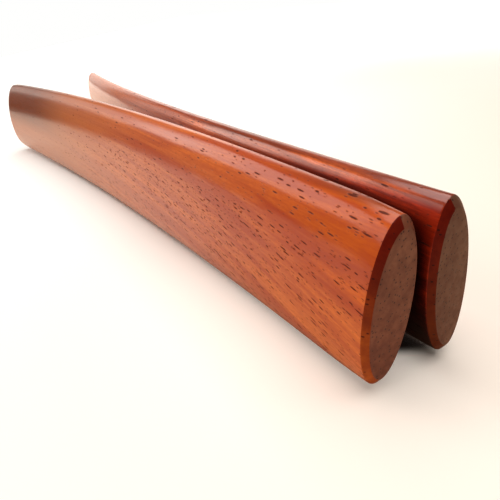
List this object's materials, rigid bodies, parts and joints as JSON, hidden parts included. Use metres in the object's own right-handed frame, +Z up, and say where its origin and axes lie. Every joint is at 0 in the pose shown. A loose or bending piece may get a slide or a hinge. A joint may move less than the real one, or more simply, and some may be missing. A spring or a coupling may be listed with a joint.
{
  "type": "pair of rhythm bones",
  "caption": "Hand clapper of bowed, oval-section hardwood slats with flat bevelled ends, standing bow to bow on their long narrow edges and splayed at the finger end.",
  "frame": {"origin": "On the surface the pair stands on, below the centre of the pair's bounding box.", "axes": "+Z is up. +X runs along the pair from the splayed finger ends to the ends that lie close together. +Y points from the anchor bone to the striking bone, and the plane Y = 0 lies midway between them."},
  "size_m": [0.1768, 0.0404, 0.0252],
  "materials": {
    "padauk": "orange-red padauk with dark pores under a thin satin-gloss finish, bare and duller on the flat ends"
  },
  "bodies": {
    "anchor": {"anchor_bone": "padauk"},
    "striker": {"striking_bone": "padauk"}
  },
  "joints": [
    {"name": "clack_swing", "type": "hinge", "parent": "anchor", "child": "striker", "pos_m": [-0.0584, 0, 0], "axis": [0, 0, 1], "range_deg": [0, 14]}
  ]
}
